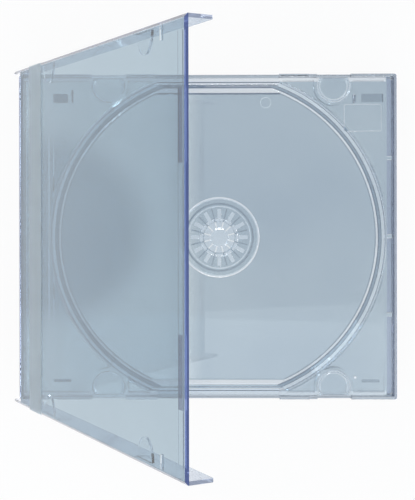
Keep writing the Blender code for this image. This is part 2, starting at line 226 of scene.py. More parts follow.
class Block:
    """A closed block in millimetres that other blocks are cut from or joined to."""

    # Least angle between the faces of an edge that is rounded, and of one that stays sharp in the shading
    ROUNDED_FROM = math.radians(30)
    SHARP_FROM = math.radians(32)

    def __init__(self, bm: bmesh.types.BMesh) -> None:
        """Turn a closed bmesh into a block, and free it."""
        bmesh.ops.recalc_face_normals(bm, faces=bm.faces)
        mesh = bpy.data.meshes.new("block")
        bm.to_mesh(mesh)
        bm.free()
        self.obj = add_object("block", mesh)

    @classmethod
    def box(cls, x: Point2, y: Point2, z: Point2, corner: float = 0.0, edge: float = 0.0) -> Block:
        """Make a box.

        Args:
            x: Its range of X.
            y: Its range of Y.
            z: Its range of Z.
            corner: Radius of its upright edges.
            edge: Radius of its top edges.

        Returns:
            The box.
        """
        bm = bmesh.new()
        low, high = (Vector(point) for point in zip(x, y, z))
        place = Matrix.Translation((high + low) / 2) @ Matrix.Diagonal(high - low).to_4x4()
        bmesh.ops.create_cube(bm, size=1.0, matrix=place)
        if corner:
            upright = [e for e in bm.edges if not same(e.verts[0].co.z, e.verts[1].co.z)]
            bmesh.ops.bevel(bm, geom=upright, offset=corner, segments=5, profile=0.5, affect="EDGES",
                            material=-1)
        if edge:
            rim = [e for e in bm.edges if all(same(v.co.z, z[1], 1e-4) for v in e.verts)]
            bmesh.ops.bevel(bm, geom=rim, offset=edge, segments=3, profile=0.5, affect="EDGES",
                            material=-1)
        return cls(bm)

    @classmethod
    def puck(cls, centre: Point2, radii: Point2, heights: Point2, segments: int = 64) -> Block:
        """Make an upright cylinder or cone, whose radii and heights are given from below."""
        bm = bmesh.new()
        middle = Matrix.Translation((centre[0], centre[1], sum(heights) / 2))
        bmesh.ops.create_cone(bm, cap_ends=True, segments=segments, radius1=radii[0], radius2=radii[1],
                              depth=heights[1] - heights[0], matrix=middle)
        return cls(bm)

    @classmethod
    def rod(cls, x: float, z: float, radius: float, y_range: Point2) -> Block:
        """Make a cylinder along Y."""
        bm = bmesh.new()
        place = Matrix.Translation((x, sum(y_range) / 2, z)) @ Matrix.Rotation(math.pi / 2, 4, "X")
        bmesh.ops.create_cone(bm, cap_ends=True, segments=32, radius1=radius, radius2=radius,
                              depth=y_range[1] - y_range[0], matrix=place)
        return cls(bm)

    @classmethod
    def plate(cls, outline: list[Point3], sweep: Point3) -> Block:
        """Sweep a flat outline, given by its corners in order, along a vector."""
        bm = bmesh.new()
        face = bm.faces.new([bm.verts.new(point) for point in outline])
        walls = bmesh.ops.extrude_face_region(bm, geom=[face])
        moved = [item for item in walls["geom"] if isinstance(item, bmesh.types.BMVert)]
        bmesh.ops.translate(bm, verts=moved, vec=sweep)
        return cls(bm)

    @classmethod
    def across(cls, outline: list[Point2], y: Point2 = THROUGH) -> Block:
        """Sweep an outline of X and Z along Y."""
        return cls.plate([(px, y[0], pz) for px, pz in outline], (0, y[1] - y[0], 0))

    @classmethod
    def turned(cls, profile: list[Point2], centre: Point2, segments: int, closed: bool = False) -> Block:
        """Turn a profile about an upright axis.

        Args:
            profile: Points of radius and Z. It starts and ends on the axis unless it is a closed ring.
            centre: Place of the axis in plan.
            segments: Facets round it.
            closed: Whether the last point joins the first.

        Returns:
            The turned block.
        """
        bm = bmesh.new()
        verts = [bm.verts.new((centre[0] + radius, centre[1], z)) for radius, z in profile]
        for first, second in zip(verts, verts[1:] + verts[:1] if closed else verts[1:]):
            bm.edges.new((first, second))
        bmesh.ops.spin(bm, geom=bm.verts[:] + bm.edges[:], cent=(*centre, 0), axis=(0, 0, 1),
                       angle=2 * math.pi, steps=segments, use_merge=True)
        bmesh.ops.remove_doubles(bm, verts=bm.verts, dist=1e-4)
        return cls(bm)

    def moved(self, place: Matrix) -> Block:
        """Move this block."""
        self.obj.data.transform(place)
        return self

    def combine(self, tool: Block, operation: str) -> Block:
        """Apply a Boolean with another block, which is used up."""
        modifier = self.obj.modifiers.new("combine", "BOOLEAN")
        modifier.operation = operation
        modifier.solver = "MANIFOLD"
        modifier.object = tool.obj
        depsgraph = bpy.context.evaluated_depsgraph_get()
        result = bpy.data.meshes.new_from_object(self.obj.evaluated_get(depsgraph))
        self.obj.modifiers.clear()
        self.obj.data = result
        bpy.data.objects.remove(tool.obj, do_unlink=True)
        return self

    def cut(self, *tools: Block) -> None:
        """Cut blocks from this one."""
        for tool in tools:
            self.combine(tool, "DIFFERENCE")

    def join(self, *tools: Block) -> None:
        """Join blocks onto this one."""
        for tool in tools:
            self.combine(tool, "UNION")

    def clean(self) -> None:
        """Merge doubles and drop the needless edges that the cuts leave on flat faces."""
        bm = bmesh.new()
        bm.from_mesh(self.obj.data)
        bmesh.ops.remove_doubles(bm, verts=bm.verts, dist=0.002)
        bmesh.ops.dissolve_degenerate(bm, edges=bm.edges, dist=0.002)
        bmesh.ops.dissolve_limit(bm, angle_limit=math.radians(0.5), verts=bm.verts, edges=bm.edges)
        bm.to_mesh(self.obj.data)
        bm.free()

    def round_edges(self, width: float, where: Callable[[Vector, Vector], bool]) -> None:
        """Round the sharp edges that a test on their two end points picks."""
        bm = bmesh.new()
        bm.from_mesh(self.obj.data)
        edges = [e for e in bm.edges if len(e.link_faces) == 2
                 and e.calc_face_angle(0.0) > self.ROUNDED_FROM and where(e.verts[0].co, e.verts[1].co)]
        bmesh.ops.bevel(bm, geom=edges, offset=width, offset_type="OFFSET", segments=3, profile=0.5,
                        affect="EDGES", clamp_overlap=True, material=-1)
        bmesh.ops.remove_doubles(bm, verts=bm.verts, dist=0.0005)
        bm.to_mesh(self.obj.data)
        bm.free()

    def paint(self, skin_of: Callable[[Vector, Vector], Skin]) -> None:
        """Give each face its skin, which a test on its middle and its normal tells."""
        for polygon in self.obj.data.polygons:
            polygon.material_index = skin_of(polygon.center, polygon.normal).value

    def finish(self, name: str, skins: dict[Skin, ClearPlastic],
               place: Matrix | None = None) -> bpy.types.Object:
        """Scale the block to metres, put it in place and dress it.

        Args:
            name: Name of the finished piece.
            skins: Finish of each skin. A skin without one takes the finish of the walls.
            place: Where the block goes, in metres.

        Returns:
            The finished piece.
        """
        mesh = self.obj.data
        mesh.transform((place or Matrix()) @ Matrix.Scale(MM, 4))
        # Clearing the slots resets the faces' slots, which are put back afterwards
        painted = [polygon.material_index for polygon in mesh.polygons]
        mesh.materials.clear()
        materials = {finish: finish.build() for finish in dict.fromkeys(skins.values())}
        for skin in Skin:
            mesh.materials.append(materials[skins.get(skin, skins[WALL])])
        mesh.polygons.foreach_set("material_index", painted)
        mesh.shade_smooth()
        mesh.set_sharp_from_angle(angle=self.SHARP_FROM)
        shading = self.obj.modifiers.new("flat_faces_stay_flat", "WEIGHTED_NORMAL")
        shading.mode = "FACE_AREA"
        shading.keep_sharp = True
        self.obj.name = name
        mesh.name = name
        return self.obj


def same(value: float, target: float, slack: float = 0.02) -> bool:
    """Tell whether a value is at a target."""
    return abs(value - target) < slack


def arc(centre: Point2, radius: float, start: float, end: float, steps: int) -> list[Point2]:
    """Give the points of an arc, both ends included, with angles in degrees."""
    points = []
    for step in range(steps + 1):
        angle = math.radians(start + (end - start) * step / steps)
        points.append((centre[0] + radius * math.cos(angle), centre[1] + radius * math.sin(angle)))
    return points


def about(middle: float, half: float) -> Point2:
    """Give the range that reaches equally far on both sides of its middle."""
    return middle - half, middle + half


def on_side(side: int, near: float, far: float) -> Point2:
    """Give two distances from the middle plane as a rising range of Y on one side of it."""
    return (near, far) if side > 0 else (-far, -near)


@dataclass
class CaseFrame:
    """Sizes that the three mouldings share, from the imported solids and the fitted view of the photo."""

    back_x: float = -70.8
    front_x: float = 70.8
    hub: Point2 = (4.3, -0.35)
    hinge: Point2 = (-67.4, 4.4)
    lid_angle_deg: float = 60.5
    half_width: float = 62.5
    dip_x: Point2 = (-18.2, 26.8)
    dip_z: float = 5.3
    tab_x: Point2 = (-36.6, 47.4)
    pocket_radius: float = 6.3
    pocket_z: float = 5.2

    def tabs(self) -> list[tuple[float, int]]:
        """Give the pocket of each booklet tab as its X and its side."""
        return [(x, side) for x in self.tab_x for side in (-1, 1)]


@dataclass
class BaseShell:
    """The base: floor, spine, front wall and two side walls that dip beside the disc."""

    frame: CaseFrame
    half_width: float = 61.05
    rim_z: float = 8.4
    floor: float = 1.2
    wall: float = 1.2
    corner: float = 1.0
    inner_corner: float = 0.4
    spine_break: float = 0.8
    hole_radius: float = 1.7
    rim_round: float = 0.35
    foot_round: float = 0.3
    snap_y: float = 34.5
    snap_half: float = 1.8
    snap_z: Point2 = (3.4, 5.6)
    rest_x: Point2 = (-35.0, 43.2)
    rest_half: float = 5.15
    rest_z: float = 7.25

    def build(self) -> bpy.types.Object:
        """Make the base moulding."""
        case = self.frame
        back, front, inside = case.back_x, case.front_x, self.half_width - self.wall
        shell = Block.box((back, front), about(0, self.half_width), (0, self.rim_z), corner=self.corner)
        shell.cut(Block.box((back + self.wall, front - self.wall), about(0, inside), (self.floor, FAR),
                            corner=self.inner_corner))
        cut = self.spine_break
        shell.cut(Block.across([(back - cut, -cut), (back + cut, -cut), (back + cut, 0), (back, cut),
                                (back - cut, cut)]))
        for side in (-1, 1):
            gap = on_side(side, inside - self.wall, case.half_width)
            shell.cut(Block.box(case.dip_x, gap, (case.dip_z, FAR)),
                      Block.box((front - self.wall - 1, front - self.wall / 2),
                                about(side * self.snap_y, self.snap_half), self.snap_z))
            for x in case.tab_x:
                shell.cut(Block.box(about(x, case.pocket_radius), gap, (case.pocket_z, FAR)))
        # The closed lid's tabs reach a little past the gaps, and lie in shallow rests in the rim there
        across = about(0, case.half_width)
        for x in self.rest_x:
            shell.cut(Block.box(about(x, self.rest_half), across, (self.rest_z, FAR)))
        shell.cut(Block.rod(*case.hinge, self.hole_radius, across))
        shell.clean()
        shell.round_edges(self.rim_round, lambda a, b: same(a.z, self.rim_z) and same(b.z, self.rim_z))
        shell.round_edges(self.rim_round, lambda a, b: same(a.z, case.dip_z) and same(b.z, case.dip_z))
        shell.round_edges(self.foot_round, lambda a, b: same(a.z, 0) and same(b.z, 0))
        shell.paint(self.skin)
        # The walls' darker tint is painted shade for walls seen edge-on, and the rims beside the lid get
        # painted light
        return shell.finish("base_shell", {
            PANEL: ClearPlastic("polystyrene_base_flats", "E1E7EC", "DBE2E8"),
            WALL: ClearPlastic("polystyrene_base_walls_painted_shade", "8E9BA9", "8693A2"),
            EDGE: ClearPlastic("polystyrene_base_edges", "7A86A6", "717D9E", clear=0.75),
            GLEAM: ClearPlastic("polystyrene_base_rims_painted_light", "E4ECF4", "DCE5EE"),
        })

    def skin(self, middle: Vector, normal: Vector) -> Skin:
        """Tell which skin a face of the base has."""
        case = self.frame
        if abs(normal.z) > FLAT and middle.z < self.floor + 0.1:
            return PANEL
        # Rims beside the lid get painted light; the other walls and rims get the walls' painted shade
        beside_lid = middle.x < case.dip_x[0]
        if normal.z > RISING and beside_lid and abs(middle.y) > self.half_width - 2:
            return GLEAM
        outside = abs(middle.x) > case.front_x - 0.4 and normal.z > -RISING
        on_end = normal.z > RISING and abs(middle.x) > case.front_x - 1.8
        return EDGE if outside or on_end else WALL


@dataclass
class Hub:
    """The crown of springy fingers that holds the disc, in its dish with a seat ring round it."""

    centre: Point2
    floor_z: float = 2.6
    root: float = 0.5
    seat_radii: Point2 = (14.3, 15.35)
    seat_height: float = 1.1
    channel_radii: Point2 = (12.4, 13.1)
    channel_root: float = 0.4
    dish_radius: float = 11.5
    dish_lip: Point2 = (0.5, 0.6)
    crown_radius: float = 7.4
    crown_top: float = 6.9
    crown_wall: float = 1.2
    crown_hole: float = 3.0
    finger_count: int = 12
    finger_slot: float = 0.45
    finger_root: float = 11.0
    rib_half: float = 0.75
    rib_height: float = 0.5
    notch_half: float = 0.45
    ring_segments: int = 96
    crown_segments: int = 72

    def bead(self, inner: float, outer: float, height: float) -> Block:
        """Make a ring with a rounded top on the tray's floor."""
        low, top = self.floor_z - self.root, self.floor_z + height
        half = (outer - inner) / 2
        profile = [(outer, low)] + arc((inner + half, top - half), half, 0, 180, 8) + [(inner, low)]
        return Block.turned(profile, self.centre, self.ring_segments, closed=True)

    def crown_outside(self) -> list[Point2]:
        """Give the crown's outside as radius and Z: a stem, a bulging rim and a dished top."""
        floor, radius, top, hole = self.floor_z, self.crown_radius, self.crown_top, self.crown_hole
        profile = [(0, floor - self.root), (radius - 0.5, floor - self.root), (radius - 0.3, floor + 0.8),
                   (radius, top - 1.6)]
        profile += arc((radius - 1.3, top - 1.3), 1.3, 0, 75, 6)
        return profile + [(hole + 0.8, top - 0.15), (hole, top - 0.7), (hole, top - 2.2), (0, top - 2.2)]

    def crown_inside(self) -> list[Point2]:
        """Give the hollow under the crown as radius and Z."""
        inside, top, stem = self.crown_radius - self.crown_wall, self.crown_top, self.crown_hole + 0.9
        return [(0, -1), (inside - 0.5, -1), (inside, top - 2.6), (inside, top - 1.2), (stem, top - 1.2),
                (stem, top - 2.9), (0, top - 2.9)]

    def add_to(self, tray: Block) -> None:
        """Join the hub onto the tray and cut its fingers free."""
        lip_width, lip_height = self.dish_lip
        tray.join(self.bead(*self.seat_radii, self.seat_height))
        tray.join(self.bead(self.dish_radius, self.dish_radius + lip_width, lip_height))
        inner, outer = self.channel_radii
        low, high = self.floor_z - self.root, self.floor_z + self.channel_root
        tray.cut(Block.turned([(inner, low), (outer, low), (outer, high), (inner, high)], self.centre,
                              self.ring_segments, closed=True))
        tray.join(Block.turned(self.crown_outside(), self.centre, self.crown_segments))
        tray.cut(Block.turned(self.crown_inside(), self.centre, self.crown_segments))
        self.add_fingers(tray)

    def add_fingers(self, tray: Block) -> None:
        """Raise a rib on each finger, notch the crown and part the fingers with radial slots."""
        step = math.tau / self.finger_count
        place = Matrix.Translation((*self.centre, 0))
        for index in range(self.finger_count):
            turn = place @ Matrix.Rotation(index * step, 4, "Z")
            half_turn = place @ Matrix.Rotation((index + 0.5) * step, 4, "Z")
            tray.join(Block.box((self.crown_radius - 0.8, self.finger_root - 0.2), about(0, self.rib_half),
                                (self.floor_z - 0.3, self.floor_z + self.rib_height), edge=0.2).moved(turn))
            tray.cut(Block.box((self.crown_radius - 2.2, self.crown_radius + 1), about(0, self.notch_half),
                               (self.crown_top - 1.0, FAR), corner=0.2).moved(turn))
            tray.cut(Block.box((self.crown_hole + 0.3, self.finger_root), about(0, self.finger_slot / 2),
                               (self.floor_z - 0.7, FAR)).moved(half_turn))

    def skin(self, middle: Vector, normal: Vector) -> Skin:
        """Tell which skin a face of the hub has."""
        at = Vector((middle.x - self.centre[0], middle.y - self.centre[1]))
        # The channel's floor and the outward upright faces get painted shade
        if normal.z > FLAT and middle.z < self.floor_z + 0.1:
            return SHADE if middle.z < self.floor_z - 0.1 else PANEL
        outward = at.x * normal.x + at.y * normal.y > 0
        if abs(normal.z) < 0.2 and outward and at.length > self.crown_radius + 0.1:
            return SHADE
        # Only the outer slope of the seat ring is a clear wall; the rest of the hub gets a soft painted
        # highlight
        return WALL if at.length > self.seat_radii[1] - 0.45 else GLEAM


@dataclass(frozen=True)
class DeckMark:
    """A small mark on the tray's deck, which is raised when its height is over 0 and sunk otherwise."""

    x: Point2
    y: Point2
    height: float
    corner: float = 0.4
    edge: float = 0.2
    root: float = 0.5

    def add_to(self, tray: Block, deck_z: float) -> None:
        """Join a raised mark onto the tray, or cut a sunk one from it."""
        if self.height > 0:
            tray.join(Block.box(self.x, self.y, (deck_z - self.root, deck_z + self.height),
                                corner=self.corner, edge=self.edge))
        else:
            tray.cut(Block.box(self.x, self.y, (deck_z + self.height, FAR), corner=self.corner))


# A raised rectangle, sunk slots and upright pins, which stand for the clutter in the deck's corners
DECK_MARKS = (
    DeckMark((51.2, 65.2), (39.5, 49.7), 0.3, corner=0.8, edge=0.25),
    DeckMark((57.7, 66.0), (50.5, 53.6), -0.4),
    DeckMark((54.2, 55.8), (50.2, 53.4), -0.6, corner=0.5),
    DeckMark((54.75, 55.25), (50.0, 53.6), 0.5, corner=0.2, root=0.8),
    DeckMark((57.6, 64.4), (-54.8, -53.7), -0.4),
    DeckMark((-58.5, -51.8), (50.4, 53.8), -0.4),
    DeckMark((-50.4, -49.6), (50.4, 55.4), 0.5, corner=0.35),
    DeckMark((-58.5, -50.6), (-54.6, -53.5), -0.4),
)


@dataclass
class DiscTray:
    """The tray: deck, stepped round well with two flats, tab pockets, front channel, ridge and hub."""

    frame: CaseFrame
    back_x: float = -69.5
    front_x: float = 69.5
    half_width: float = 59.75
    bottom_z: float = 1.5
    deck_z: float = 6.9
    floor_z: float = 2.6
    wall: float = 1.0
    rim_radius: float = 62.7
    channel: float = 2.2
    channel_z: float = 3.0
    front_slope: Point2 = (65.7, 0.6)
    ridge: Point2 = (-67.4, -62.3)
    ridge_z: float = 7.9
    ridge_break: float = 0.3
    groove: tuple[float, ...] = (-59.2, -58.7, -57.4, -56.9)
    groove_depth: float = 0.45
    nib_y: float = 29.5
    nib_half: float = 0.75
    nib_height: float = 4.0
    back_shelf_x: float = -68.5
    back_shelf_drop: float = 0.4
    side_shelf_y: float = 58.2
    side_shelf_drop: float = 0.35
    dip_y: float = 56.9
    dip_groove_y: Point2 = (57.95, 58.35)
    dip_groove_depth: float = 0.3
    pocket_middle_y: float = 56.7
    stud: Point2 = (55.2, -52.9)
    stud_radii: Point2 = (0.7, 0.5)
    stud_z: Point2 = (-0.5, 0.4)
    ejectors: tuple[Point2, ...] = ((-13.5, 52.2), (22.0, 50.8))
    ejector_radii: Point2 = (1.9, 2.1)
    ejector_depth: float = 0.15
    segments: int = 160

    def well_profile(self) -> list[tuple[float, float, Skin]]:
        """Give the well's round wall as radius, Z and the skin of the face that ends there."""
        floor, deck = self.floor_z, self.deck_z
        # Dark and dim ledges are painted shade and soft steps painted highlights, in bands along the well's
        # wall
        return [(59.0, floor, PANEL), (59.4, floor + 0.1, SHADE), (60.0, 3.8, WALL), (60.3, 3.9, LINE),
                (61.1, 4.5, SHADE), (61.3, 4.6, LINE), (62.4, 5.5, GLEAM), (62.6, 5.6, LINE),
                (62.9, 6.3, GLEAM), (63.3, deck, PANEL)]

    def flat_profile(self) -> list[tuple[float, float, Skin]]:
        """Give the wall of the well's flats as |Y|, Z and the skin of the face that ends there."""
        floor = self.floor_z
        # The dark ledges of the flats are painted shade
        return [(53.9, floor, PANEL), (54.5, floor + 0.12, LINE), (56.1, 3.8, WALL), (56.8, 3.95, LINE),
                (57.05, 4.95, WALL), (57.4, 5.02, LINE), (57.6, 5.35, WALL), (57.9, self.deck_z, WALL)]

    def make_well(self) -> Block:
        """Make the block that the well is cut with."""
        ring = [(radius, z) for radius, z, _ in self.well_profile()]
        ring = [(0.0, self.floor_z)] + ring + [(ring[-1][0], FAR), (0.0, FAR)]
        well = Block.turned(ring, self.frame.hub, self.segments)
        side = [(y, z) for y, z, _ in self.flat_profile()]
        side.append((side[-1][0], FAR))
        outline = [(-FAR, y, z) for y, z in side] + [(-FAR, -y, z) for y, z in reversed(side)]
        return well.combine(Block.plate(outline, (2 * FAR, 0, 0)), "INTERSECT")

    def make_pocket(self, x: float, side: int) -> Block:
        """Make the half-moon block that a tab pocket and its wall take up."""
        radius = self.frame.pocket_radius + self.wall
        outline = arc((x, self.pocket_middle_y), radius, 180, 360, 28)
        outline += [(x + radius, FAR), (x - radius, FAR)]
        return Block.plate([(px, side * py, -FAR) for px, py in outline], (0, 0, 2 * FAR))

    def make_pocket_steps(self, x: float, side: int) -> Block:
        """Make the block that widens a tab pocket upwards in two sloping steps."""
        low, deck, radius = self.frame.pocket_z, self.deck_z, self.frame.pocket_radius
        profile = [(0, low), (radius - 1.4, low), (radius - 0.9, low + 0.5), (radius - 0.6, low + 0.55),
                   (radius + 0.1, deck + 0.05), (radius + 0.1, FAR), (0, FAR)]
        return Block.turned(profile, (x, side * self.pocket_middle_y), 64)

    def make_hollow(self) -> Block:
        """Make the space under the deck."""
        case = self.frame
        rim = self.rim_radius + self.wall
        hollow = Block.box((self.back_x + self.wall, self.front_x - self.channel - self.wall),
                           about(0, self.half_width - self.wall), (-FAR, self.deck_z - self.wall))
        hollow.cut(Block.puck(case.hub, (rim, rim), THROUGH, self.segments))
        hollow.cut(Block.box((case.dip_x[0] - self.wall, case.dip_x[1] + self.wall), THROUGH, THROUGH))
        for x, side in case.tabs():
            hollow.cut(self.make_pocket(x, side))
        return hollow

    def add_marks(self, tray: Block) -> None:
        """Add the marks and the stud of the deck's corners, and the ejector pins' marks in the well."""
        for mark in DECK_MARKS:
            mark.add_to(tray, self.deck_z)
        low, high = self.stud_z
        tray.join(Block.puck(self.stud, self.stud_radii, (self.deck_z + low, self.deck_z + high), 24))
        inner, outer = self.ejector_radii
        sunk = self.floor_z - self.ejector_depth
        for place in self.ejectors:
            tray.cut(Block.turned([(0, sunk), (inner, sunk), (outer, self.floor_z), (outer, FAR), (0, FAR)],
                                  place, 32))

    def add_ridge(self, tray: Block) -> None:
        """Join the ridge beside the hinge and cut the groove beside the ridge."""
        deck, top, cut = self.deck_z, self.ridge_z, self.ridge_break
        low, high = self.ridge
        ridge = [(low, deck - 0.5), (low, top - cut), (low + cut, top), (high - cut, top), (high, top - cut),
                 (high, deck - 0.5)]
        tray.join(Block.across(ridge, about(0, self.half_width - self.wall)))
        low, floor_low, floor_high, high = self.groove
        sunk = deck - self.groove_depth
        tray.cut(Block.across([(low, deck + 1), (low, deck - 0.1), (floor_low, sunk), (floor_high, sunk),
                               (high, deck + 0.1), (high, deck + 1)]))

    def cut_shelves(self, tray: Block) -> None:
        """Cut the dips and shelves of the sides, the front channel with its slope, and the back shelf."""
        case, deck, front = self.frame, self.deck_z, self.front_x - self.channel
        low, high = case.dip_x
        for side in (-1, 1):
            tray.cut(Block.box(case.dip_x, on_side(side, self.dip_y, FAR), (case.dip_z, FAR)),
                     Block.box((low - 0.5, high + 0.5), on_side(side, *self.dip_groove_y),
                               (case.dip_z - self.dip_groove_depth, case.dip_z + 0.5)),
                     Block.box(THROUGH, on_side(side, self.side_shelf_y, FAR),
                               (deck - self.side_shelf_drop, FAR)))
        for x, side in case.tabs():
            tray.cut(self.make_pocket_steps(x, side))
        tray.cut(Block.box((front, FAR), THROUGH, (self.channel_z, FAR)))
        start, drop = self.front_slope
        tray.cut(Block.across([(start, deck), (front + 0.5, deck - drop), (front + 0.5, FAR), (start, FAR)]))
        tray.cut(Block.box((-FAR, self.back_shelf_x), THROUGH, (deck - self.back_shelf_drop, FAR)))
        for y in (-self.nib_y, 0, self.nib_y):
            tray.join(Block.box((front - 0.5, self.front_x), about(y, self.nib_half),
                                (self.bottom_z, self.bottom_z + self.nib_height), edge=0.4))

    def build(self) -> bpy.types.Object:
        """Make the tray moulding."""
        tray = Block.box((self.back_x, self.front_x), about(0, self.half_width),
                         (self.bottom_z, self.deck_z), corner=0.8)
        self.add_ridge(tray)
        tray.cut(self.make_hollow())
        tray.cut(self.make_well())
        self.cut_shelves(tray)
        self.add_marks(tray)
        Hub(self.frame.hub).add_to(tray)
        tray.clean()
        end, edge = self.front_x - 0.1, self.half_width - 0.35
        shelf = self.deck_z - self.side_shelf_drop
        tray.round_edges(0.45, lambda a, b: a.z > self.channel_z - 0.1 and same(a.z, b.z)
                         and abs(a.y - b.y) > 2 and abs(a.x) > end and abs(b.x) > end)
        tray.round_edges(0.4, lambda a, b: same(a.z, shelf) and same(b.z, shelf)
                         and abs(a.y) > edge and abs(b.y) > edge)
        tray.paint(self.skin)
        return tray.finish("disc_tray", {
            # The flats' grey-blue is partly painted shade, with painted light towards the hinge; ledges are
            # painted shade and soft steps painted light
            PANEL: ClearPlastic("polystyrene_tray_flats_painted_light_and_shade", "A2B5C2", "9BAEBC", painted_light_tint="F5FFFF"),
            WALL: ClearPlastic("polystyrene_tray_steps", "FFFFFF", "F6F8FC"),
            EDGE: ClearPlastic("polystyrene_tray_edges", "8998B2", "8090AA"),
            LINE: ClearPlastic("polystyrene_tray_ledges_painted_shade", "4A586C", "414F63"),
            SHADE: ClearPlastic("polystyrene_tray_soft_ledges_painted_shade", "7A8C9B", "738594"),
            GLEAM: ClearPlastic("polystyrene_tray_soft_steps_painted_light", "D6E3EC", "CEDCE6"),
        })

    def well_skin(self, middle: Vector, normal: Vector) -> Skin | None:
        """Give the skin of a face on the well's wall, and nothing for a face elsewhere."""
        on_flat = abs(normal.x) < 0.05 * abs(normal.y)
        at = abs(middle.y) if on_flat else math.dist(middle.xy, self.frame.hub)
        profile = self.flat_profile() if on_flat else self.well_profile()
        for (low, low_z, _), (high, high_z, skin) in zip(profile, profile[1:]):
            if low - 0.03 < at < high + 0.03 and low_z - 0.02 < middle.z < high_z + 0.02:
                slope = (high_z - low_z) / math.hypot(high - low, high_z - low_z)
                if same(math.sqrt(max(0.0, 1 - normal.z ** 2)), slope, 0.03):
                    # Only the far flat's ledges get the dark painted shade; the near flat's ledges keep the
                    # flats' tint
                    return PANEL if on_flat and middle.y < 0 and skin is LINE else skin
        return None

    def in_pocket(self, point: Vector) -> bool:
        """Tell whether a point is on the steps of a tab pocket."""
        return point.z > self.frame.pocket_z + 0.1 and any(
            math.dist(point.xy, (x, side * self.pocket_middle_y)) < self.frame.pocket_radius + 0.2
            for x, side in self.frame.tabs())

    def skin(self, middle: Vector, normal: Vector) -> Skin:
        """Tell which skin a face of the tray has."""
        hub = self.frame.hub
        in_hub = math.dist(middle.xy, hub) < Hub.seat_radii[1] + 0.05
        if in_hub and middle.z > self.floor_z - 0.8 and normal.z > -0.5:
            return Hub(hub).skin(middle, normal)
        # Flats of the ejector marks keep the flats' tint, and their slopes get a soft painted highlight
        if normal.z > 0.5 and self.floor_z - 0.2 < middle.z < self.floor_z - 0.01:
            return PANEL if normal.z > FLAT else GLEAM
        if middle.z > self.bottom_z + 0.1 and normal.z > 0.1 and abs(middle.y) < self.half_width - 0.75:
            skin = self.well_skin(middle, normal)
            if skin and not (same(normal.z, 1, 1e-5) and same(middle.z, self.floor_z)):
                return skin
        # The back shelf and the tray's end faces get the dark painted shade, and pocket steps a soft painted
        # highlight
        on_end = abs(middle.x) > self.front_x - 0.9 and normal.z < 0.95
        if normal.z > RISING and (middle.x < self.back_shelf_x or on_end):
            return LINE
        if normal.z < FLAT:
            return GLEAM if self.in_pocket(middle) else WALL
        return self.flat_skin(middle)

    def flat_skin(self, middle: Vector) -> Skin:
        """Tell which skin a flat of the tray outside its hub has."""
        case = self.frame
        if same(middle.z, self.channel_z, 0.05):
            return EDGE
        # The floor of the dip's groove gets the dark painted shade
        if same(middle.z, case.dip_z - self.dip_groove_depth, 0.05):
            return LINE
        on_shelf = abs(middle.y) > self.side_shelf_y and middle.z > self.deck_z - 0.5
        # These flats stay clear on the far side and beside the lid, and take the dimmer painted-highlight
        # tint elsewhere
        if same(middle.z, case.dip_z, 0.03) or on_shelf:
            return WALL if middle.y > 0 or middle.x < case.dip_x[0] else GLEAM
        return self.mark_skin(middle) if middle.z > case.pocket_z + 0.6 else PANEL

    def mark_skin(self, middle: Vector) -> Skin:
        """Give the skin of a flat on the deck: pins get the dark painted shade and sunk marks the dim
        painted shade, while studs stay clear and bright.
        """
        rise = middle.z - self.deck_z
        if abs(middle.y) < 38 or abs(rise) < 0.05 or 0.2 < rise < 0.35:
            return PANEL
        if rise < 0:
            return SHADE
        return LINE if rise > 0.45 else WALL


